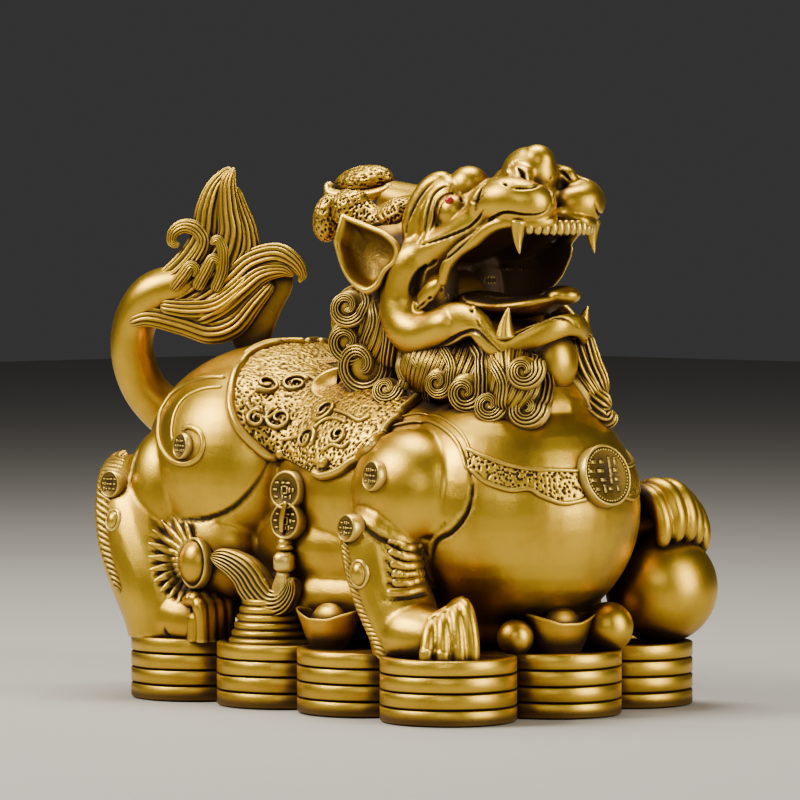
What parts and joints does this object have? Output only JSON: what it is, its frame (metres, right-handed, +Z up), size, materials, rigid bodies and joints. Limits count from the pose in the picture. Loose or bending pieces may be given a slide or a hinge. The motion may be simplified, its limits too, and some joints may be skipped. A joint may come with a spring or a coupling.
{
  "type": "pixiu figure",
  "caption": "Cast brass pixiu, a winged-lion guardian with open jaws, curled mane and flame tail, standing over treasure on a base of coin stacks, one forepaw on a ball.",
  "frame": {"origin": "on the flat underside, at the middle of the ring of coin stacks", "axes": "+X the way the animal looks, +Y its left flank, +Z up"},
  "size_m": [0.2206, 0.1389, 0.1935],
  "materials": {
    "brass": "cast and rubbed to a satin gold, with dark brown wax left in the carving",
    "red_stone": "polished red bead"
  },
  "bodies": {
    "root": {"pixiu": "brass", "eye_stone_right": "red_stone", "eye_stone_left": "red_stone"}
  },
  "joints": []
}
